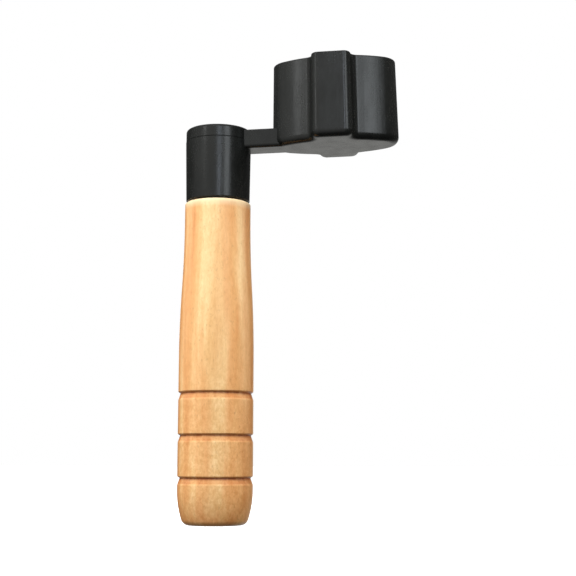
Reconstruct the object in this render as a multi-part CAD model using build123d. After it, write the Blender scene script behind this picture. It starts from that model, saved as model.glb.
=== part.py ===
"""String winder: a moulded crank with a peg cup, spinning on a turned wooden handle.

Frame: the origin is on the handle's axis at its flat lower end, +Z runs up the handle
and the crank's arm points along +X. All lengths are in millimetres.
"""
from build123d import *
from math import radians, tan
import os

os.makedirs("parts", exist_ok=True)

# Handle, turned from round stock
handle_length = 86.0
handle_radius = 10.0
neck_radius = 8.9
neck_length = 5.0            # straight stretch under the crank
grip_length = 44.0           # full-radius stretch and the end below it
top_chamfer = 0.35
end_taper_length = 9.0       # the lower end draws in over this length
end_taper_radius = 25.0
end_round = 2.0

# Three turned rings near the lower end
ring_heights = (12.2, 23.3, 34.4)
ring_depth = 0.62
ring_lip = 0.42              # from a ring's deepest line up to its upper lip
ring_bevel = 1.55            # from its deepest line down to its lower shoulder

# Spindle, a steel pin moulded into the crank
spindle_radius = 2.5
spindle_embedded = 12.5
anchor_groove_depth = 0.5
anchor_groove_width = 1.5
anchor_groove_gap = 2.5
anchor_flat_depth = 0.4

# Bushes pressed into the handle's two ends
bush_wall = 1.2
bush_length = 12.0
bush_flange_radius = 4.6
bush_flange_thickness = 1.0

# Washers, and the screw in the spindle's lower end
thrust_washer_radius = 5.6
thrust_washer_thickness = 0.45
retaining_washer_radius = 4.0
retaining_washer_thickness = 0.6
screw_radius = 1.5
screw_length = 9.0
screw_hole_extra = 2.0
screw_head_radius = 2.8
screw_head_height = 2.2
screw_head_round = 0.9
screw_drive_length = 3.2
screw_drive_width = 0.6
screw_drive_depth = 1.1
screw_head_sink = 2.4        # from the handle's end up to the screw's head

# Crank: boss over the handle, hub, arm and cup in one moulding
boss_radius = 8.62
boss_height = 13.95           # from the boss's lower face up to the arm's underside
boss_draft = 0.95            # degrees, widening upwards
hub_height = 5.9            # from the arm's underside up to the hub's top
hub_step = 0.08              # the upper mould half is this much smaller
hub_edge = 0.8
parting_height = 2.55         # the mould's parting line above the arm's underside
arm_thickness = 5.1
arm_half_width = 4.1
arm_lower_edge = 1.0
arm_upper_edge = 0.5
arm_rise = 0.9               # degrees that the arm and cup lean up from square

# Peg cup: in plan, a long lens along the arm crossed by a rounded lobe
cup_offset = 32.32            # cup centre from the handle's axis
cup_half_length = 17.12
cup_half_width = 8.9         # where the lens's two flanks pass the cup's centre
cup_end_radius = 6.2
lobe_half_length = 12.4
lobe_half_width = 5.7
lobe_corner = 2.4
cove_radius = 1.8            # eases the four inward corners between lens and lobe
cup_height = 23.15
cup_wall = 2.2
cup_floor = 3.0
cup_draft = 1.2              # degrees
cup_inner_draft = 0.6        # degrees
cup_inner_corner = 1.0
cup_inner_cove = 1.2
cup_lower_edge = 2.0
cup_rim_edge = 0.4

# Clearances
running_clearance = 0.05     # radial, between the spindle and a bush
washer_clearance = 0.15      # radial, between a washer's hole and what passes through it
bore_clearance = 0.6         # radial, between the spindle and the handle's own bore
end_play = 0.05              # axial, between a washer and the bush it faces
recess_clearance = 0.3       # radial, round the retaining washer
corner_margin = 0.1          # the cup's lower rounding stays this much under its corners' radius
cut_margin = 1.0             # how far a cutting solid reaches past the surface that it cuts
point_tolerance = 0.001


def ring(outer, inner, low, high):
    """A flat ring or tube on the handle's axis, between two heights."""
    body = Cylinder(outer, high - low, align=(Align.CENTER, Align.CENTER, Align.MIN))
    body -= Cylinder(inner, high - low, align=(Align.CENTER, Align.CENTER, Align.MIN))
    return Pos(0, 0, low) * body


def rod(radius, low, high):
    """A round rod on the handle's axis, between two heights."""
    return Pos(0, 0, low) * Cylinder(radius, high - low, align=(Align.CENTER, Align.CENTER, Align.MIN))


# Heights that the pieces share
bush_bore = spindle_radius + running_clearance
bush_radius = bush_bore + bush_wall
recess_radius = max(bush_flange_radius, retaining_washer_radius + recess_clearance)
handle_bore = spindle_radius + bore_clearance
screw_head_top = screw_head_sink + screw_head_height
spindle_low = screw_head_top + retaining_washer_thickness
lower_flange_low = spindle_low + end_play
lower_flange_high = lower_flange_low + bush_flange_thickness
boss_low = handle_length + end_play + thrust_washer_thickness
arm_low = boss_low + boss_height
hub_high = arm_low + hub_height
parting_level = arm_low + parting_height
spindle_high = boss_low + spindle_embedded


def handle_outline():
    """Half section of the turned handle, without its rings, on the XZ plane."""
    swell_top = handle_length - neck_length
    swell_middle = ((neck_radius + handle_radius) / 2, (swell_top + grip_length) / 2)
    drawn_in = end_taper_radius - (end_taper_radius**2 - end_taper_length**2) ** 0.5
    with BuildSketch(Plane.XZ) as section:
        with BuildLine():
            Polyline((0, 0), (0, handle_length), (neck_radius, handle_length), (neck_radius, swell_top))
            upper = TangentArc((neck_radius, swell_top), swell_middle, tangent=(0, -1))
            TangentArc(swell_middle, (handle_radius, grip_length), tangent=upper % 1)
            Line((handle_radius, grip_length), (handle_radius, end_taper_length))
            TangentArc(
                (handle_radius, end_taper_length), (handle_radius - drawn_in, 0), tangent=(0, -1)
            )
            Line((handle_radius - drawn_in, 0), (0, 0))
        make_face()
    return section.sketch


def ring_cut(height):
    """One turned ring: a steep upper side and a long bevel below its deepest line."""
    reach = handle_radius + cut_margin
    with BuildSketch(Plane.XZ) as section:
        with BuildLine():
            Polyline(
                (handle_radius, height - ring_bevel),
                (handle_radius - ring_depth, height),
                (handle_radius, height + ring_lip),
                (reach, height + ring_lip),
                (reach, height - ring_bevel),
                close=True,
            )
        make_face()
    return revolve(section.sketch, Axis.Z)


def wooden_handle():
    """The turned handle, bored through, with a seat for each bush and a recess for the screw."""
    body = revolve(handle_outline(), Axis.Z)
    circles = body.edges().filter_by(GeomType.CIRCLE).sort_by(Axis.Z)
    body = fillet(circles[0], end_round)
    body = chamfer(body.edges().filter_by(GeomType.CIRCLE).sort_by(Axis.Z)[-1], top_chamfer)
    for height in ring_heights:
        body -= ring_cut(height)
    body -= rod(handle_bore, 0, handle_length)
    body -= rod(bush_flange_radius, handle_length - bush_flange_thickness, handle_length)
    body -= rod(bush_radius, handle_length - bush_length, handle_length)
    body -= rod(recess_radius, 0, lower_flange_high)
    body -= rod(bush_radius, 0, lower_flange_low + bush_length)
    return body


def upper_bush():
    """Flanged bush in the handle's upper end, flush with it."""
    flange = ring(bush_flange_radius, bush_bore, handle_length - bush_flange_thickness, handle_length)
    sleeve = ring(bush_radius, bush_bore, handle_length - bush_length, handle_length)
    return flange + sleeve


def lower_bush():
    """Flanged bush in the handle's lower end, at the bottom of the screw's recess."""
    flange = ring(recess_radius, bush_bore, lower_flange_low, lower_flange_high)
    sleeve = ring(bush_radius, bush_bore, lower_flange_low, lower_flange_low + bush_length)
    return flange + sleeve


def thrust_washer():
    """Washer between the boss and the handle's upper end."""
    inner = spindle_radius + washer_clearance
    return ring(thrust_washer_radius, inner, boss_low - thrust_washer_thickness, boss_low)


def retaining_washer():
    """Washer that the screw clamps on the spindle's lower end, wider than the bush's bore."""
    inner = screw_radius + washer_clearance
    return ring(retaining_washer_radius, inner, screw_head_top, spindle_low)


def retaining_screw():
    """Pan-head screw with a cross drive, up into the spindle."""
    head = rod(screw_head_radius, screw_head_sink, screw_head_top)
    head = fillet(head.edges().sort_by(Axis.Z)[0], screw_head_round)
    for turn in (0, 90):
        slot = Box(
            screw_drive_length,
            screw_drive_width,
            screw_drive_depth,
            align=(Align.CENTER, Align.CENTER, Align.MIN),
        )
        head -= Pos(0, 0, screw_head_sink) * Rot(0, 0, turn) * slot
    return head + rod(screw_radius, screw_head_top, spindle_low + screw_length)


def spindle():
    """Steel pin: tapped at its lower end, grooved and flatted where the crank is moulded on it."""
    body = rod(spindle_radius, spindle_low, spindle_high)
    body -= rod(screw_radius, spindle_low, spindle_low + screw_length + screw_hole_extra)
    for step in (1, 2):
        groove_high = spindle_high - step * anchor_groove_gap
        body -= ring(
            spindle_radius + cut_margin,
            spindle_radius - anchor_groove_depth,
            groove_high - anchor_groove_width,
            groove_high,
        )
    flat = Box(
        2 * spindle_radius,
        2 * spindle_radius,
        anchor_groove_gap,
        align=(Align.MIN, Align.CENTER, Align.MAX),
    )
    return body - Pos(spindle_radius - anchor_flat_depth, 0, spindle_high) * flat


def lens(inset):
    """The long part of the cup's plan: two flank arcs and two end arcs, drawn in by an inset."""
    end_x = cup_half_length - cup_end_radius
    flank = (end_x**2 + cup_half_width**2 - cup_end_radius**2) / (2 * (cup_half_width - cup_end_radius))
    centre_y = cup_half_width - flank
    lean = (flank - inset) / (flank - cup_end_radius)
    meet_x = end_x * lean
    meet_y = centre_y - centre_y * lean
    tip = cup_half_length - inset
    crown = cup_half_width - inset
    with BuildSketch() as plan:
        with BuildLine():
            ThreePointArc((-meet_x, meet_y), (0, crown), (meet_x, meet_y))
            ThreePointArc((meet_x, meet_y), (tip, 0), (meet_x, -meet_y))
            ThreePointArc((meet_x, -meet_y), (0, -crown), (-meet_x, -meet_y))
            ThreePointArc((-meet_x, -meet_y), (-tip, 0), (-meet_x, meet_y))
        make_face()
    return plan.sketch


def cup_outline(inset, corner, cove):
    """Plan of the cup: the lens crossed by the lobe, with the corners between them eased."""
    side = lobe_half_width - inset
    plan = lens(inset) + RectangleRounded(2 * side, 2 * (lobe_half_length - inset), corner)
    inward = [
        point
        for point in plan.vertices()
        if abs(abs(point.X) - side) < point_tolerance and abs(point.Y) < cup_half_width - inset
    ]
    return fillet(inward, cove)


def walls(low_plan, high_plan, low, high):
    """A solid with straight walls between two plans of the cup at two heights."""
    return loft([Pos(0, 0, low) * low_plan, Pos(0, 0, high) * high_plan], ruled=True)


def cup_body():
    """The cup's outside on height zero, drafted so that its rim is slightly smaller than its floor."""
    rim_inset = cup_height * tan(radians(cup_draft))
    body = walls(
        cup_outline(0, lobe_corner, cove_radius),
        cup_outline(rim_inset, lobe_corner - rim_inset, cove_radius + rim_inset),
        0,
        cup_height,
    )
    lower_edge = min(cup_lower_edge, lobe_corner - corner_margin)
    body = fillet(body.faces().sort_by(Axis.Z)[0].edges(), lower_edge)
    body = fillet(body.faces().sort_by(Axis.Z)[-1].edges(), cup_rim_edge)
    return Pos(cup_offset, 0, 0) * body


def cup_hollow():
    """The space inside the cup, from its floor up through the rim, widening upwards."""
    floor_inset = cup_wall + cup_floor * tan(radians(cup_draft))
    mouth_inset = floor_inset - (cup_height - cup_floor) * tan(radians(cup_inner_draft))
    hollow = walls(
        cup_outline(floor_inset, cup_inner_corner, cup_inner_cove),
        cup_outline(mouth_inset, cup_inner_corner, cup_inner_cove),
        cup_floor,
        cup_height,
    )
    return Pos(cup_offset, 0, 0) * hollow


def boss():
    """Boss and hub: drafted down from the parting line, and very slightly smaller above it."""
    parting_radius = boss_radius + (boss_height + parting_height) * tan(radians(boss_draft))
    hub_radius = parting_radius - hub_step
    lower = Cone(
        boss_radius,
        parting_radius,
        parting_level - boss_low,
        align=(Align.CENTER, Align.CENTER, Align.MIN),
    )
    upper = rod(hub_radius, parting_level, hub_high)
    upper = fillet(upper.edges().sort_by(Axis.Z)[-1], hub_edge)
    return Pos(0, 0, boss_low) * lower + upper


def arm():
    """The bar from the hub into the cup's end, its underside flush with the cup's at height zero."""
    reach = cup_offset - cup_half_length + cup_end_radius
    bar = Box(reach, 2 * arm_half_width, arm_thickness, align=(Align.MIN, Align.CENTER, Align.MIN))
    long_edges = bar.edges().filter_by(Axis.X).sort_by(Axis.Z)
    bar = fillet(long_edges[:2], arm_lower_edge)
    long_edges = bar.edges().filter_by(Axis.X).sort_by(Axis.Z)
    bar = fillet(long_edges[-2:], arm_upper_edge)
    return bar


def crank():
    """Boss, hub, arm and cup as the one moulding that they are, with the spindle's seat."""
    head = arm() + cup_body() - cup_hollow()
    return boss() + Pos(0, 0, arm_low) * Rot(0, -arm_rise, 0) * head - spindle()


def main():
    pieces = {
        "wooden_handle": wooden_handle(),
        "upper_bush": upper_bush(),
        "lower_bush": lower_bush(),
        "spindle": spindle(),
        "crank": crank(),
        "thrust_washer": thrust_washer(),
        "retaining_washer": retaining_washer(),
        "retaining_screw": retaining_screw(),
    }
    for name, shape in pieces.items():
        export_step(shape, f"parts/{name}.step")


main()
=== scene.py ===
import math
import bpy
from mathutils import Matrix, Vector


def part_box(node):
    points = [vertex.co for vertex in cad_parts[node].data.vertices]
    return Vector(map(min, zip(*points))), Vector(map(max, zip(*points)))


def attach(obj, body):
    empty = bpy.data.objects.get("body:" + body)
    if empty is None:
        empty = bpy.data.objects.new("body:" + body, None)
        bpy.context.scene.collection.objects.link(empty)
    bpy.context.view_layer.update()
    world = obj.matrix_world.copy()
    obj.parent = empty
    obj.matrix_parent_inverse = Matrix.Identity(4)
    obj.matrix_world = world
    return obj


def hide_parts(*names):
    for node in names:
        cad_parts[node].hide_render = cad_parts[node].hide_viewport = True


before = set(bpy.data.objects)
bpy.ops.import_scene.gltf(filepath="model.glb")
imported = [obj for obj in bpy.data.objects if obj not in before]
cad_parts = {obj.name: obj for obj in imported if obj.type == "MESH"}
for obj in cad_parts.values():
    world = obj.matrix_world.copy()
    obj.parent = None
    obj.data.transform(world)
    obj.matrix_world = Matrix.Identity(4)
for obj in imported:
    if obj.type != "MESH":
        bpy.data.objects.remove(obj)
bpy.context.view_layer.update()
mm = 0.001
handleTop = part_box("wooden_handle")[1].z / mm
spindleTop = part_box("spindle")[1].z / mm
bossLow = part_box("crank")[0].z / mm
print("frame loaded")


# small helpers, all working in millimetres

def clearSelection():
    if bpy.context.object and bpy.context.object.mode != "OBJECT":
        bpy.ops.object.mode_set(mode="OBJECT")
    bpy.ops.object.select_all(action="DESELECT")


def activate(piece):
    clearSelection()
    piece.select_set(True)
    bpy.context.view_layer.objects.active = piece


def editAll(piece):
    activate(piece)
    bpy.ops.object.mode_set(mode="EDIT")
    bpy.ops.mesh.select_mode(type="VERT")
    bpy.ops.mesh.select_all(action="SELECT")


def leaveEdit():
    bpy.ops.object.mode_set(mode="OBJECT")


def drawLine(name, points, closed=False):  # one vertex pulled along the points
    start = Vector(points[0]) * mm
    clearSelection()
    bpy.ops.mesh.primitive_plane_add(size=mm, location=start)
    piece = bpy.context.object
    piece.name = piece.data.name = name
    bpy.ops.object.transform_apply(location=True, rotation=True, scale=True)
    editAll(piece)
    bpy.ops.mesh.merge(type="CENTER")
    route = [Vector(p) * mm for p in points] + ([start] if closed else [])
    for here, there in zip(route, route[1:]):
        bpy.ops.mesh.extrude_region_move(TRANSFORM_OT_translate={"value": there - here})
    bpy.ops.mesh.select_all(action="SELECT")
    bpy.ops.mesh.remove_doubles(threshold=0.001 * mm)
    leaveEdit()
    return piece


def joinPieces(first, *others):
    activate(first)
    for other in others:
        other.select_set(True)
    bpy.ops.object.join()
    return first


def faceOutwards(piece):
    editAll(piece)
    bpy.ops.mesh.remove_doubles(threshold=0.002 * mm)
    bpy.ops.mesh.normals_make_consistent(inside=False)
    leaveEdit()


def turnOnAxis(name, outline, steps):  # a lathe shape from its (radius, height) outline
    piece = drawLine(name, [(radius, 0, height) for radius, height in outline])
    editAll(piece)
    bpy.ops.mesh.spin(steps=steps, angle=2 * math.pi, center=(0, 0, 0), axis=(0, 0, 1))
    leaveEdit()
    faceOutwards(piece)
    return piece


def selectEdges(piece, test):  # the test is given an edge's two ends, in millimetres
    activate(piece)
    bpy.ops.object.mode_set(mode="EDIT")
    bpy.ops.mesh.select_mode(type="EDGE")
    bpy.ops.mesh.select_all(action="DESELECT")
    leaveEdit()
    corners = piece.data.vertices
    for edge in piece.data.edges:
        edge.select = test(*(corners[i].co / mm for i in edge.vertices))
    bpy.ops.object.mode_set(mode="EDIT")


def roundSelected(width, segments):
    bpy.ops.mesh.bevel(
        offset=width * mm, segments=segments, profile=0.5, affect="EDGES", clamp_overlap=False
    )
    leaveEdit()


def keepSharpOnly(piece, degrees, level):  # of all edges, selects the sharp ones lying at one height
    activate(piece)
    bpy.ops.object.mode_set(mode="EDIT")
    bpy.ops.mesh.select_mode(type="EDGE")
    bpy.ops.mesh.select_all(action="DESELECT")
    bpy.ops.mesh.edges_select_sharp(sharpness=math.radians(degrees))
    leaveEdit()
    corners = piece.data.vertices
    for edge in piece.data.edges:
        if edge.select and any(abs(corners[i].co.z / mm - level) > 0.01 for i in edge.vertices):
            edge.select = False
    bpy.ops.object.mode_set(mode="EDIT")


def combine(piece, tool, operation):
    activate(piece)
    change = piece.modifiers.new("combine", "BOOLEAN")
    change.operation = operation
    change.solver = "EXACT"
    change.object = tool
    bpy.ops.object.modifier_apply(modifier=change.name)
    bpy.data.objects.remove(tool)
    return piece


def smoothShade(piece, degrees):
    activate(piece)
    bpy.ops.object.shade_smooth_by_angle(angle=math.radians(degrees))
    weigh = piece.modifiers.new("weigh", "WEIGHTED_NORMAL")
    weigh.keep_sharp = True
    bpy.ops.object.modifier_apply(modifier=weigh.name)


def arc(centre, radius, start, stop, count):  # angles in radians
    turns = [start + (stop - start) * k / count for k in range(count + 1)]
    return [(centre[0] + radius * math.cos(t), centre[1] + radius * math.sin(t)) for t in turns]


# material helpers

def newMaterial(name):
    material = bpy.data.materials.new(name)
    material.use_nodes = True
    tree = material.node_tree
    return material, tree, tree.nodes["Principled BSDF"]


# noise on the piece's own coordinates; stretch is in waves per millimetre along x, y and z
def grain(tree, stretch, detail=2.0, roughness=0.5, distortion=0.0, offset=(0, 0, 0), turn=0):
    place = tree.nodes.new("ShaderNodeTexCoord")
    mapping = tree.nodes.new("ShaderNodeMapping")
    mapping.inputs["Scale"].default_value = [s / mm for s in stretch]
    mapping.inputs["Location"].default_value = offset
    mapping.inputs["Rotation"].default_value = (0, 0, math.radians(turn))
    noise = tree.nodes.new("ShaderNodeTexNoise")
    noise.inputs["Scale"].default_value = 1.0
    noise.inputs["Detail"].default_value = detail
    noise.inputs["Roughness"].default_value = roughness
    noise.inputs["Distortion"].default_value = distortion
    tree.links.new(place.outputs["Object"], mapping.inputs["Vector"])
    tree.links.new(mapping.outputs["Vector"], noise.inputs["Vector"])
    return noise.outputs["Fac"]


def ramp(tree, source, *stops):
    node = tree.nodes.new("ShaderNodeValToRGB")
    while len(node.color_ramp.elements) < len(stops):
        node.color_ramp.elements.new(0.5)
    for element, (position, colour) in zip(node.color_ramp.elements, stops):
        element.position = position
        element.color = (*colour, 1) if isinstance(colour, tuple) else (colour, colour, colour, 1)
    tree.links.new(source, node.inputs["Fac"])
    return node.outputs["Color"]


def blendColour(tree, kind, amount, first, second):
    node = tree.nodes.new("ShaderNodeMix")
    node.data_type = "RGBA"
    node.blend_type = kind
    for socket, value in zip((node.inputs[0], node.inputs[6], node.inputs[7]), (amount, first, second)):
        if isinstance(value, (int, float)):
            socket.default_value = value
        elif isinstance(value, tuple):
            socket.default_value = (*value, 1)
        else:
            tree.links.new(value, socket)
    return node.outputs[2]


def tint(tree, colour, amount, source, low, high, shade):  # darkens where the source is low
    return blendColour(tree, "MULTIPLY", amount, colour, ramp(tree, source, (low, shade), (high, 1.0)))


def arithmetic(tree, kind, first, second):
    node = tree.nodes.new("ShaderNodeMath")
    node.operation = kind
    for socket, value in zip(node.inputs, (first, second)):
        if isinstance(value, (int, float)):
            socket.default_value = value
        else:
            tree.links.new(value, socket)
    return node.outputs[0]


def remap(tree, source, low, high, newLow, newHigh):
    node = tree.nodes.new("ShaderNodeMapRange")
    limits = {"From Min": low, "From Max": high, "To Min": newLow, "To Max": newHigh}
    for key, value in limits.items():
        node.inputs[key].default_value = value
    tree.links.new(source, node.inputs["Value"])
    return node.outputs["Result"]


def multiply(tree, first, second):
    return arithmetic(tree, "MULTIPLY", first, second)


def addBump(tree, shader, height, distance, strength):
    bump = tree.nodes.new("ShaderNodeBump")
    bump.inputs["Strength"].default_value = strength
    bump.inputs["Distance"].default_value = distance * mm
    tree.links.new(height, bump.inputs["Height"])
    tree.links.new(bump.outputs["Normal"], shader.inputs["Normal"])


def dress(piece, material):
    piece.data.materials.clear()
    piece.data.materials.append(material)


# the turned wooden handle

handle = {
    "radius": 10.0,
    "neckRadius": 8.9,
    "neckLow": 81.0,
    "gripTop": 44.0,
    "taperHigh": 9.0,          # below this the handle closes in on a wide arc
    "taperRadius": 25.0,
    "endRound": 2.0,
    "topChamfer": 0.35,
    "ringHeights": (12.2, 23.3, 34.4),
    "ringDepth": 0.62,
    "ringLip": 0.42,           # from the ring's deepest line up to its upper lip
    "ringBevel": 1.55,         # from the deepest line down to the lower shoulder
    "recessRadius": 4.6,
    "recessHigh": 6.25,
    "recessRound": 0.35,
    "seatRadius": 3.75,
    "seatLength": 12.0,
    "flange": 1.0,
    "lowerSeatHigh": 17.25,
    "boreRadius": 3.1,
    "neckRows": (85.0, 84.0, 83.0, 82.0),  # extra rows keep the faces short
    "gripRows": (42.0, 40.0, 38.0, 36.5),
    "bandRows": (3.5, 5.0, 6.5, 8.0),      # below each ring but the lowest
    "steps": 160,
    "smoothBelow": 35,
}


def ringOutline(height):  # from the lower shoulder up the long bevel to the short steep lip
    radius, depth = handle["radius"], handle["ringDepth"]
    low, high = height - handle["ringBevel"], height + handle["ringLip"]
    return [
        (radius, low - 0.42),
        (radius - 0.015, low - 0.20),
        (radius - 0.065, low),
        (radius - 0.150, low + 0.20),
        (radius - depth + 0.10, height - 0.28),
        (radius - depth + 0.02, height - 0.09),
        (radius - depth, height),
        (radius - depth + 0.05, height + 0.07),
        (radius - 0.20, high - 0.13),
        (radius - 0.09, high - 0.02),
        (radius - 0.02, high + 0.07),
        (radius, high + 0.2),
    ]


def handleOutline():  # up the bore, over the top, down the outside and round the end
    radius, neck, chamfer = handle["radius"], handle["neckRadius"], handle["topChamfer"]
    recess, seat, bore = handle["recessRadius"], handle["seatRadius"], handle["boreRadius"]
    seatLow, flangeLow = handleTop - handle["seatLength"], handleTop - handle["flange"]
    high, low = handle["neckLow"], handle["gripTop"]
    drop, step = (high - low) / 2, (radius - neck) / 2
    bend = (drop**2 + step**2) / (2 * step)
    reach = math.asin(drop / bend)
    end = handle["taperRadius"]
    rounding = handle["endRound"]
    taperX = radius - end
    # centre of the small rounding between the tapering arc and the flat end
    roundX = taperX + math.sqrt((end - rounding) ** 2 - (handle["taperHigh"] - rounding) ** 2)
    touch = math.atan2(rounding - handle["taperHigh"], roundX - taperX)
    mouth = handle["recessRound"]
    outline = arc((recess + mouth, mouth), mouth, -math.pi / 2, -math.pi, 4)
    outline += [
        (recess, handle["recessHigh"]),
        (seat, handle["recessHigh"]),
        (seat, handle["lowerSeatHigh"]),
        (bore, handle["lowerSeatHigh"]),
        (bore, seatLow),
        (seat, seatLow),
        (seat, flangeLow),
        (recess, flangeLow),
        (recess, handleTop),
        (neck - chamfer - 0.08, handleTop),
        (neck - chamfer + 0.04, handleTop - 0.05),
        (neck - 0.06, handleTop - chamfer + 0.05),
        (neck, handleTop - chamfer - 0.1),
    ]
    outline += [(neck, height) for height in handle["neckRows"]]
    outline += arc((neck + bend, high), bend, math.pi, math.pi + reach, 12)
    outline += arc((radius - bend, low), bend, reach, 0, 12)[1:]
    outline += [(radius, height) for height in handle["gripRows"]]
    for height in reversed(handle["ringHeights"]):
        outline += reversed(ringOutline(height))
        if height != handle["ringHeights"][0]:
            outline += [(radius, height - below) for below in handle["bandRows"]]
    outline += arc((taperX, handle["taperHigh"]), end, 0, touch, 10)
    outline += arc((roundX, rounding), rounding, touch, -math.pi / 2, 8)[1:]
    return outline + [outline[0]]


woodenHandle = turnOnAxis("woodenHandle", handleOutline(), handle["steps"])
smoothShade(woodenHandle, handle["smoothBelow"])
print("handle turned")


# the crank: boss and hub, arm and peg cup in one moulding

crank = {
    "bossRadius": 8.62,
    "bossHeight": 13.95,
    "bossDraft": 0.95,
    "bossLowerEdge": 0.25,
    "partingHeight": 2.55,
    "hubHeight": 5.9,
    "hubStep": 0.08,
    "partingGroove": 0.20,
    "hubEdge": 0.8,
    "pinRadius": 2.5,
    "armThickness": 5.1,
    "armHalfWidth": 4.1,
    "armLowerEdge": 1.0,
    "armUpperEdge": 0.5,
    "armClear": 0.02,          # keeps the arm's underside just off the cup's
    "rise": 0.9,
    "cupOffset": 32.32,
    "cupHalfLength": 17.12,
    "cupHalfWidth": 8.9,
    "cupEndRadius": 6.2,
    "lobeHalfLength": 12.4,
    "lobeHalfWidth": 5.7,
    "lobeCorner": 2.4,
    "cove": 1.8,
    "cupHeight": 23.15,
    "cupWall": 2.2,
    "cupFloor": 3.0,
    "cupDraft": 1.2,
    "innerDraft": 0.6,
    "innerCorner": 1.0,
    "innerCove": 1.2,
    "lowerEdge": 2.0,
    "rimEdge": 0.4,
    "innerFloorEdge": 0.8,
    "steps": 160,
    "smoothBelow": 32,
    "sharpAbove": 40,
}
armLow = bossLow + crank["bossHeight"]
partingLevel = armLow + crank["partingHeight"]


def bossOutline():
    mouth, edge, pin = crank["bossRadius"], crank["bossLowerEdge"], crank["pinRadius"]
    rise = partingLevel - bossLow
    widest = mouth + rise * math.tan(math.radians(crank["bossDraft"]))
    top, hub, rounding = armLow + crank["hubHeight"], widest - crank["hubStep"], crank["hubEdge"]
    outline = [(0, spindleTop), (pin, spindleTop), (pin, bossLow)]
    outline += arc((mouth - edge, bossLow + edge), edge, -math.pi / 2, 0, 4)
    outline += [(mouth + (widest - mouth) * k / 8, bossLow + rise * k / 8) for k in range(1, 8)]
    outline += [  # the two mould halves meet in a fine line
        (widest - 0.01, partingLevel - 0.16),
        (widest - 0.05, partingLevel - 0.08),
        (widest - crank["partingGroove"], partingLevel),
        (hub, partingLevel + 0.12),
        (hub, partingLevel + 0.5),
        (hub, partingLevel + 1.5),
    ]
    outline += arc((hub - rounding, top - rounding), rounding, 0, math.pi / 2, 8)
    outline += [(hub * 0.6, top), (hub * 0.2, top), (0, top)]
    return outline


def cupOutline(inset, corner, cove, level):  # one quarter of the plan, then mirrored round
    endX = crank["cupHalfLength"] - crank["cupEndRadius"]
    width, endRadius = crank["cupHalfWidth"], crank["cupEndRadius"]
    flank = (endX**2 + width**2 - endRadius**2) / (2 * (width - endRadius))
    flankY = width - flank
    side, top = crank["lobeHalfWidth"] - inset, crank["lobeHalfLength"] - inset
    meet = math.atan2(-flankY, endX)
    coveY = flankY + math.sqrt((flank - inset + cove) ** 2 - (side + cove) ** 2)
    leave = math.atan2(coveY - flankY, side + cove)
    quarter = arc((endX, 0), endRadius - inset, 0, meet, 14)
    quarter += arc((0, flankY), flank - inset, meet, leave, 6)[1:]
    quarter += arc((side + cove, coveY), cove, math.pi + leave, math.pi, 7)[1:]
    quarter += arc((side - corner, top - corner), corner, 0, math.pi / 2, 9)
    quarter += [(0, top)]
    loop = quarter[:-1]
    loop += [(-x, y) for x, y in reversed(quarter[1:])]
    loop += [(-x, -y) for x, y in quarter[:-1]]
    loop += [(x, -y) for x, y in reversed(quarter[1:])]
    return [(x + crank["cupOffset"], y, level) for x, y in loop]


def atHeight(point, level):
    return abs(point.z - level) < 0.001


def bridgeBetween(name, lowLoop, highLoop):  # a closed solid between two plans of the cup
    piece = joinPieces(drawLine(name, lowLoop, True), drawLine(name + "High", highLoop, True))
    editAll(piece)
    bpy.ops.mesh.select_mode(type="EDGE")
    bpy.ops.mesh.bridge_edge_loops()
    for level in (lowLoop[0][2], highLoop[0][2]):
        leaveEdit()
        selectEdges(piece, lambda a, b: atHeight(a, level) and atHeight(b, level))
        bpy.ops.mesh.edge_face_add()
    leaveEdit()
    faceOutwards(piece)
    return piece


def bareArm():
    reach = crank["cupOffset"] - crank["cupHalfLength"] + crank["cupEndRadius"]
    low, high, half = crank["armClear"], crank["armThickness"], crank["armHalfWidth"]
    clearSelection()
    bpy.ops.mesh.primitive_cube_add(size=mm, location=(reach / 2 * mm, 0, (low + high) / 2 * mm))
    piece = bpy.context.object
    piece.name = "arm"
    piece.scale = (reach, 2 * half, high - low)
    bpy.ops.object.transform_apply(location=True, rotation=True, scale=True)
    selectEdges(piece, lambda a, b: abs(a.x - b.x) > 1 and a.z < high / 2)
    roundSelected(crank["armLowerEdge"], 6)
    selectEdges(piece, lambda a, b: abs(a.x - b.x) > 1 and atHeight(a, high))
    roundSelected(crank["armUpperEdge"], 4)
    return piece


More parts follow.
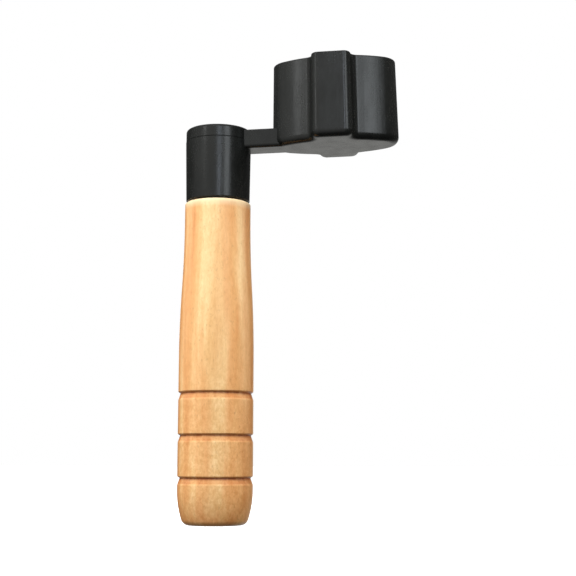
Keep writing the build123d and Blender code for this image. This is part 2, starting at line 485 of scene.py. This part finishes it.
def mouldCrank():
    height, floor, corner, cove = (crank[key] for key in ("cupHeight", "cupFloor", "lobeCorner", "cove"))
    innerCorner, innerCove = crank["innerCorner"], crank["innerCove"]
    draft = math.tan(math.radians(crank["cupDraft"]))
    innerDraft = math.tan(math.radians(crank["innerDraft"]))
    rimInset = height * draft
    floorInset = crank["cupWall"] + floor * draft
    mouthInset = floorInset - (height - floor) * innerDraft
    overshoot = 1.0  # the hollow's tool stands this far out of the mouth
    cup = bridgeBetween(
        "cup",
        cupOutline(0, corner, cove, 0),
        cupOutline(rimInset, corner - rimInset, cove + rimInset, height),
    )
    selectEdges(cup, lambda a, b: atHeight(a, 0) and atHeight(b, 0))
    roundSelected(crank["lowerEdge"], 7)
    hollow = bridgeBetween(
        "hollow",
        cupOutline(floorInset, innerCorner, innerCove, floor),
        cupOutline(mouthInset - overshoot * innerDraft, innerCorner, innerCove, height + overshoot),
    )
    selectEdges(hollow, lambda a, b: atHeight(a, floor) and atHeight(b, floor))
    roundSelected(crank["innerFloorEdge"], 4)
    head = combine(cup, bareArm(), "UNION")
    head = combine(head, hollow, "DIFFERENCE")
    faceOutwards(head)
    keepSharpOnly(head, crank["sharpAbove"], height)
    roundSelected(crank["rimEdge"], 4)
    editAll(head)  # leaned up a little about the handle's axis, and lifted onto the boss
    bpy.ops.transform.translate(value=(0, 0, armLow * mm))
    leaveEdit()
    turn = math.radians(crank["rise"])
    for point in head.data.vertices:
        x, z = point.co.x, point.co.z - armLow * mm
        point.co.x = x * math.cos(turn) - z * math.sin(turn)
        point.co.z = x * math.sin(turn) + z * math.cos(turn) + armLow * mm
    boss = turnOnAxis("crankMoulding", bossOutline(), crank["steps"])
    moulding = combine(boss, head, "UNION")
    faceOutwards(moulding)
    return moulding


crankMoulding = mouldCrank()
smoothShade(crankMoulding, crank["smoothBelow"])
print("crank moulded, faces:", len(crankMoulding.data.polygons))


# the retaining screw up the recess in the handle's lower end

screw = {
    "headLow": 2.4,
    "headHigh": 4.6,
    "headRadius": 2.8,
    "headRound": 0.9,
    "headChamfer": 0.12,
    "shankRadius": 1.5,
    "shankHigh": 14.2,
    "shankChamfer": 0.5,
    "driveHalfLength": 1.6,
    "driveHalfWidth": 0.3,
    "driveDepth": 1.1,
    "lengthTaper": 0.55,       # the cross drive narrows as it goes in
    "widthTaper": 0.8,
    "steps": 72,
    "smoothBelow": 35,
}


def turnScrew():
    low, high = screw["headLow"], screw["headHigh"]
    radius, rounding, chamfer = screw["headRadius"], screw["headRound"], screw["headChamfer"]
    shank, tip, point = screw["shankRadius"], screw["shankHigh"], screw["shankChamfer"]
    outline = [(0, low), (0.6 * radius, low)]
    outline += arc((radius - rounding, low + rounding), rounding, -math.pi / 2, 0, 8)
    outline += [(radius, high - chamfer), (radius - chamfer, high), (shank, high)]
    outline += [(shank, tip - point), (shank - point, tip), (0, tip)]
    piece = turnOnAxis("retainingScrew", outline, screw["steps"])
    along = (screw["driveHalfLength"], screw["lengthTaper"])
    across = (screw["driveHalfWidth"], screw["widthTaper"])
    for name, (halfX, taperX), (halfY, taperY) in (("driveX", along, across), ("driveY", across, along)):
        clearSelection()
        middle = (0, 0, (low + screw["driveDepth"] - 1) * mm)
        bpy.ops.mesh.primitive_cube_add(size=2 * mm, location=middle)
        blade = bpy.context.object
        blade.name = name
        blade.scale = (halfX, halfY, 1)
        bpy.ops.object.transform_apply(location=True, rotation=True, scale=True)
        for corner in blade.data.vertices:
            if corner.co.z > low * mm:
                corner.co.x *= taperX
                corner.co.y *= taperY
        piece = combine(piece, blade, "DIFFERENCE")
    faceOutwards(piece)
    return piece


retainingScrew = turnScrew()
smoothShade(retainingScrew, screw["smoothBelow"])
print("screw turned")


# finishes

wood = {
    "pale": (0.960, 0.680, 0.350),
    "warm": (0.910, 0.540, 0.245),
    "tan": (0.820, 0.420, 0.165),
    # painted shade: the dark line at the bottom of each turned ring, and the next colour on the bevel
    # under it
    "grooveShade": (0.250, 0.055, 0.004),
    "bevelShade": (0.740, 0.560, 0.420),
    "pore": (0.450, 0.210, 0.080),
    # painted highlight for the upper shoulder, where the top chamfer catches the light
    "shoulderHighlight": (0.980, 0.880, 0.600),
    # painted shade for the handle's lower end
    "lowEndPaintedShade": (0.80, 0.66, 0.52),
    "roughness": (0.40, 0.55),
    "coat": 0.30,
    "coatRoughness": 0.25,
    "rings": {  # the tree's own rings, cut nearly lengthwise
        "Scale": 60.0,
        "Distortion": 2.6,
        "Detail": 3.0,
        "Detail Scale": 0.9,
        "Detail Roughness": 0.6,
    },
    "ringCentre": (-0.0140, 0.0310, 0.004),
    "ringLean": (-3.8, -1.7, 0),
    "ringStretch": (1, 1, 0.3),
    "grains": {
        "bands": {"stretch": (0.15, 0.15, 0.014), "detail": 3, "roughness": 0.6, "distortion": 0.5,
                  "offset": (3.1, 7.7, 0.4), "turn": 46},
        "streak": {"stretch": (0.60, 0.60, 0.030), "detail": 4, "roughness": 0.62, "distortion": 0.4,
                   "offset": (1.3, 2.9, 5.2), "turn": 46},
        "fibre": {"stretch": (2.6, 2.6, 0.70), "detail": 4, "roughness": 0.7, "distortion": 0.3,
                  "offset": (8.0, 0.5, 2.0)},
        "mottle": {"stretch": (0.50, 0.50, 0.26), "detail": 5, "roughness": 0.65, "distortion": 0.8,
                   "offset": (0.6, 4.1, 1.9)},
        "speckle": {"stretch": (0.95, 0.95, 0.80), "detail": 4, "roughness": 0.7, "distortion": 0.6,
                    "offset": (2.2, 6.4, 3.3)},
        "fleck": {"stretch": (1.7, 1.7, 0.80), "detail": 3, "roughness": 0.6,
                  "offset": (5.5, 1.1, 0.2)},
    },
    # depths below the surface of the painted shade in the rings
    "grooveShadeDepths": (0.38, 0.58),   # below the grip's surface, from none to full
    "bevelShadeDepths": (0.03, 0.16),
    "ringsStart": (10.0, 10.6),    # heights between which the painted groove shade comes in and goes out
    "ringsStop": (36.0, 37.0),
    "endHeights": (12.0, 2.0),
    "shoulderHighlightDrops": (2.2, 0.4),      # below the handle's top
    "fibreRelief": 0.015,
}


def distanceFromAxis(tree, point):
    flat = tree.nodes.new("ShaderNodeVectorMath")
    flat.operation = "MULTIPLY"
    flat.inputs[1].default_value = (1, 1, 0)
    length = tree.nodes.new("ShaderNodeVectorMath")
    length.operation = "LENGTH"
    tree.links.new(point, flat.inputs[0])
    tree.links.new(flat.outputs[0], length.inputs[0])
    return length.outputs["Value"]


def between(tree, source, limits, newLow, newHigh):  # remap with its limits in millimetres
    return remap(tree, source, limits[0] * mm, limits[1] * mm, newLow, newHigh)


def treeRings(tree, point):
    lean = tree.nodes.new("ShaderNodeMapping")
    lean.inputs["Location"].default_value = wood["ringCentre"]
    lean.inputs["Rotation"].default_value = [math.radians(turn) for turn in wood["ringLean"]]
    lean.inputs["Scale"].default_value = wood["ringStretch"]
    tree.links.new(point, lean.inputs["Vector"])
    rings = tree.nodes.new("ShaderNodeTexWave")
    rings.wave_type, rings.rings_direction, rings.wave_profile = "RINGS", "Z", "SIN"
    for key, value in wood["rings"].items():
        rings.inputs[key].default_value = value
    tree.links.new(lean.outputs["Vector"], rings.inputs["Vector"])
    return rings.outputs["Fac"]


def woodFinish():
    material, tree, shader = newMaterial("lacqueredWood")
    place = tree.nodes.new("ShaderNodeTexCoord").outputs["Object"]
    split = tree.nodes.new("ShaderNodeSeparateXYZ")
    tree.links.new(place, split.inputs[0])
    height, radius = split.outputs["Z"], distanceFromAxis(tree, place)
    noise = {name: grain(tree, **values) for name, values in wood["grains"].items()}
    fibre, mottle = noise["fibre"], noise["mottle"]

    # broad bands and tree rings, streaks, mottling and fibres; low down the speckle takes over
    colour = ramp(tree, noise["bands"], (0.36, wood["pale"]), (0.50, wood["warm"]), (0.64, wood["tan"]))
    rings = treeRings(tree, place)
    figure = ramp(tree, rings, (0.05, (0.88, 0.74, 0.60)), (0.40, (0.97, 0.93, 0.88)), (0.90, 1.0))
    colour = blendColour(tree, "MULTIPLY", between(tree, height, (20, 46), 0.45, 0.85), colour, figure)
    colour = tint(tree, colour, 0.55, noise["streak"], 0.36, 0.58, (0.93, 0.86, 0.78))
    colour = tint(tree, colour, 0.7, mottle, 0.38, 0.60, (0.93, 0.86, 0.77))
    speckled = between(tree, height, (46, 24), 0.05, 0.75)
    colour = tint(tree, colour, speckled, noise["speckle"], 0.40, 0.58, (0.86, 0.74, 0.58))
    colour = tint(tree, colour, 0.55, fibre, 0.36, 0.58, (0.86, 0.78, 0.68))
    pores = multiply(tree, ramp(tree, noise["fleck"], (0.60, 0.0), (0.72, 1.0)), 0.35)
    colour = blendColour(tree, "MIX", pores, colour, wood["pore"])

    # painted shade: a dark line at the bottom of each turned ring, with a softer painted shade over the
    # bevel under it
    surface = handle["radius"]
    grooveShadeRadii, bevelShadeRadii = (
        [surface - depth for depth in wood[key]] for key in ("grooveShadeDepths", "bevelShadeDepths")
    )
    stop = between(tree, height, wood["ringsStop"], 1, 0)
    start = between(tree, height, wood["ringsStart"], 0, 1)
    uneven = remap(tree, mottle, 0.35, 0.62, 0.45, 1.0)
    zone = multiply(tree, multiply(tree, stop, start), uneven)
    bevelShadeMask = multiply(tree, between(tree, radius, bevelShadeRadii, 0, 1), zone)
    grooveShade = multiply(tree, between(tree, radius, grooveShadeRadii, 0, 1), zone)
    colour = blendColour(tree, "MULTIPLY", bevelShadeMask, colour, wood["bevelShade"])
    colour = blendColour(tree, "MIX", grooveShade, colour, wood["grooveShade"])

    # painted shade darkening the lower end, and a painted highlight along the upper shoulder
    ends = between(tree, height, wood["endHeights"], 0, 0.5)
    colour = blendColour(tree, "MULTIPLY", ends, colour, wood["lowEndPaintedShade"])
    # painted highlight along the upper shoulder
    shoulder = [handleTop - drop for drop in wood["shoulderHighlightDrops"]]
    colour = blendColour(tree, "MIX", between(tree, height, shoulder, 0, 0.55), colour, wood["shoulderHighlight"])

    tree.links.new(colour, shader.inputs["Base Color"])
    tree.links.new(remap(tree, fibre, 0.3, 0.7, *wood["roughness"]), shader.inputs["Roughness"])
    shader.inputs["Coat Weight"].default_value = wood["coat"]
    shader.inputs["Coat Roughness"].default_value = wood["coatRoughness"]
    addBump(tree, shader, fibre, wood["fibreRelief"], 0.6)
    return material


plastic = {
    "base": (0.0078, 0.0084, 0.0076),
    "darkest": 0.85,           # shares of the base colour
    "lightest": 1.2,
    "roughness": (0.21, 0.31),
    "level": 0.56,             # how strongly it mirrors
    "relief": 0.030,
    "fineShare": 0.18,
    "haze": {"stretch": (0.30, 0.30, 0.12), "detail": 4, "roughness": 0.6, "offset": (2.0, 1.0, 0.0)},
    "drag": {"stretch": (1.10, 1.10, 0.030), "detail": 4, "roughness": 0.65, "distortion": 0.2,
             "offset": (4.4, 0.7, 1.0)},
    "fine": {"stretch": (3.4, 3.4, 1.6), "detail": 3, "roughness": 0.6},
}
metal = {
    "base": (0.56, 0.56, 0.57),
    "darkest": 0.86,
    "roughness": (0.22, 0.38),
    "relief": 0.004,
    "turned": {"stretch": (0.4, 0.4, 9.0), "detail": 3, "roughness": 0.6},
}
bushing = {
    "base": (0.70, 0.68, 0.60),
    "darkest": 0.92,
    "roughness": (0.38, 0.50),
    "relief": 0.01,
    "haze": {"stretch": (0.8, 0.8, 0.8), "detail": 3, "roughness": 0.6},
}


def shareOf(colour, share):
    return tuple(share * c for c in colour)


def plasticFinish():
    material, tree, shader = newMaterial("blackPlastic")
    haze, drag, fine = (grain(tree, **plastic[name]) for name in ("haze", "drag", "fine"))
    darker, lighter = (shareOf(plastic["base"], plastic[key]) for key in ("darkest", "lightest"))
    tree.links.new(ramp(tree, haze, (0.35, darker), (0.65, lighter)), shader.inputs["Base Color"])
    tree.links.new(remap(tree, haze, 0.3, 0.7, *plastic["roughness"]), shader.inputs["Roughness"])
    shader.inputs["Specular IOR Level"].default_value = plastic["level"]
    # drawn marks from the mould run up the walls, with a finer skin over them
    relief = arithmetic(tree, "ADD", drag, multiply(tree, fine, plastic["fineShare"]))
    addBump(tree, shader, relief, plastic["relief"], 0.7)
    return material


def plainFinish(name, values, pattern, bumpStrength):  # steel and nylon differ only in their values
    material, tree, shader = newMaterial(name)
    noise = grain(tree, **values[pattern])
    colour = ramp(tree, noise, (0.3, shareOf(values["base"], values["darkest"])), (0.7, values["base"]))
    tree.links.new(colour, shader.inputs["Base Color"])
    tree.links.new(remap(tree, noise, 0.3, 0.7, *values["roughness"]), shader.inputs["Roughness"])
    addBump(tree, shader, noise, values["relief"], bumpStrength)
    return material


def steelFinish():
    material = plainFinish("steel", metal, "turned", 0.5)
    material.node_tree.nodes["Principled BSDF"].inputs["Metallic"].default_value = 1.0
    return material


def nylonFinish():
    return plainFinish("nylonBush", bushing, "haze", 0.4)


woodMaterial, plasticMaterial = woodFinish(), plasticFinish()
steelMaterial, nylonMaterial = steelFinish(), nylonFinish()
dress(woodenHandle, woodMaterial)
dress(crankMoulding, plasticMaterial)
dress(retainingScrew, steelMaterial)
for name in ("spindle", "retaining_washer", "thrust_washer"):
    dress(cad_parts[name], steelMaterial)
for name in ("upper_bush", "lower_bush"):
    dress(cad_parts[name], nylonMaterial)
print("finishes made")


# what each new piece rides on and stands for

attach(woodenHandle, "handle")
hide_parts("wooden_handle")
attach(crankMoulding, "crank")
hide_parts("crank")
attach(retainingScrew, "crank")
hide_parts("retaining_screw")


# floor, light and camera

studio = {
    "floorTone": 0.8,
    "floorGlow": 1.0,
    "floorSize": 6,                # metres
    "floorHigh": -0.02,            # just under the handle's end
    "roomGlow": 1.0,
    "ambient": 0.045,
    "glow": {  # where the room is lighter: direction, widest and full cosine, strength, colour
        "left": ((-0.46, -0.88, 0.15), 0.30, 0.97, 0.50, (1.0, 1.0, 0.98)),
        "below": ((0.00, 0.93, -0.36), 0.80, 1.00, 0.70, (1.0, 1.0, 0.96)),
        "above": ((0.00, 0.00, 1.00), 0.20, 1.00, 0.35, (1.0, 1.0, 1.0)),
    },
    "shaping": {  # wide lamps that don't show in the gloss
        "key": {"place": (-70, -310, 380), "aim": (5, 0, 60), "size": (180, 180),
                "power": 2.0, "colour": (1.0, 0.995, 0.98)},
        "rightSide": {"place": (330, 60, 170), "aim": (5, 0, 60), "size": (200, 200),
                      "power": 0.72, "colour": (1.0, 0.94, 0.86)},
        "leftSide": {"place": (-330, 40, 190), "aim": (5, 0, 60), "size": (200, 200),
                     "power": 0.75, "colour": (1.0, 1.0, 1.0)},
    },
    "strips": {  # narrow ones that do
        "front": {"place": (88, -360, 200), "aim": (20, 0, 95), "size": (46, 240),
                  "power": 0.140, "colour": (0.78, 0.87, 1.0)},
        "right": {"place": (252, -290, 200), "aim": (20, 0, 95), "size": (124, 240),
                  "power": 0.26, "colour": (0.90, 0.96, 1.0)},
        "left": {"place": (-187, -225, 240), "aim": (20, 0, 105), "size": (30, 110),
                 "power": 0.036, "colour": (0.97, 1.0, 1.0)},
    },
    "cameraPlace": (60.9, -315.7, 16.8),
    "cameraTurn": (98.185, -0.11, 7.486),
    "lens": 75,
    "sensor": 36,
}


def addLight(name, place, aim, size, power, colour, glossy=True):
    clearSelection()
    bpy.ops.object.light_add(type="AREA", location=[v * mm for v in place])
    lamp = bpy.context.object
    lamp.name = name
    lamp.data.shape = "RECTANGLE"
    lamp.data.size, lamp.data.size_y = size[0] * mm, size[1] * mm
    lamp.data.energy = power
    lamp.data.color = colour
    lamp.rotation_euler = (Vector(aim) - Vector(place)).to_track_quat("-Z", "Y").to_euler()
    lamp.visible_glossy = glossy


def addFloor():  # seen by the camera only, so that its whiteness doesn't light the piece
    clearSelection()
    bpy.ops.mesh.primitive_plane_add(size=studio["floorSize"], location=(0, 0, studio["floorHigh"] * mm))
    floor = bpy.context.object
    floor.name = "floor"
    material, _, shader = newMaterial("paleFloor")
    shader.inputs["Base Color"].default_value = (*[studio["floorTone"]] * 3, 1)
    shader.inputs["Roughness"].default_value = 0.9
    shader.inputs["Emission Color"].default_value = (1, 1, 1, 1)
    shader.inputs["Emission Strength"].default_value = studio["floorGlow"]
    dress(floor, material)
    floor.visible_diffuse = floor.visible_glossy = floor.visible_shadow = False


def plainLight(tree, strength, colour):
    light = tree.nodes.new("ShaderNodeBackground")
    light.inputs["Color"].default_value = (*colour, 1)
    light.inputs["Strength"].default_value = strength
    return light


def setWorld():  # a white room to look at, dimmer where it lights the piece or shows in its gloss
    white = (1, 1, 1)
    world = bpy.data.worlds.new("studio")
    bpy.context.scene.world = world
    world.use_nodes = True
    tree = world.node_tree
    tree.nodes.clear()
    place = tree.nodes.new("ShaderNodeTexCoord")
    total = plainLight(tree, studio["ambient"], white).outputs[0]
    for direction, wide, full, strength, colour in studio["glow"].values():
        facing = tree.nodes.new("ShaderNodeVectorMath")
        facing.operation = "DOT_PRODUCT"
        facing.inputs[1].default_value = Vector(direction).normalized()
        tree.links.new(place.outputs["Generated"], facing.inputs[0])
        glow = plainLight(tree, strength, colour)
        amount = remap(tree, facing.outputs["Value"], wide, full, 0, strength)
        tree.links.new(amount, glow.inputs["Strength"])
        joined = tree.nodes.new("ShaderNodeAddShader")
        tree.links.new(total, joined.inputs[0])
        tree.links.new(glow.outputs[0], joined.inputs[1])
        total = joined.outputs[0]
    path = tree.nodes.new("ShaderNodeLightPath")
    seen = plainLight(tree, studio["roomGlow"], white)
    either = tree.nodes.new("ShaderNodeMixShader")
    output = tree.nodes.new("ShaderNodeOutputWorld")
    tree.links.new(path.outputs["Is Camera Ray"], either.inputs[0])
    tree.links.new(total, either.inputs[1])
    tree.links.new(seen.outputs[0], either.inputs[2])
    tree.links.new(either.outputs[0], output.inputs["Surface"])


def addCamera():
    clearSelection()
    place = [v * mm for v in studio["cameraPlace"]]
    turn = [math.radians(angle) for angle in studio["cameraTurn"]]
    bpy.ops.object.camera_add(location=place, rotation=turn)
    camera = bpy.context.object
    camera.data.lens = studio["lens"]
    camera.data.sensor_width = studio["sensor"]
    camera.data.clip_start = 0.01
    bpy.context.scene.camera = camera


addFloor()
setWorld()
for name, lamp in studio["shaping"].items():
    addLight(name, **lamp, glossy=False)
for name, lamp in studio["strips"].items():
    addLight(name, **lamp)
addCamera()
bpy.context.scene.view_settings.view_transform = "Standard"
print("studio set")
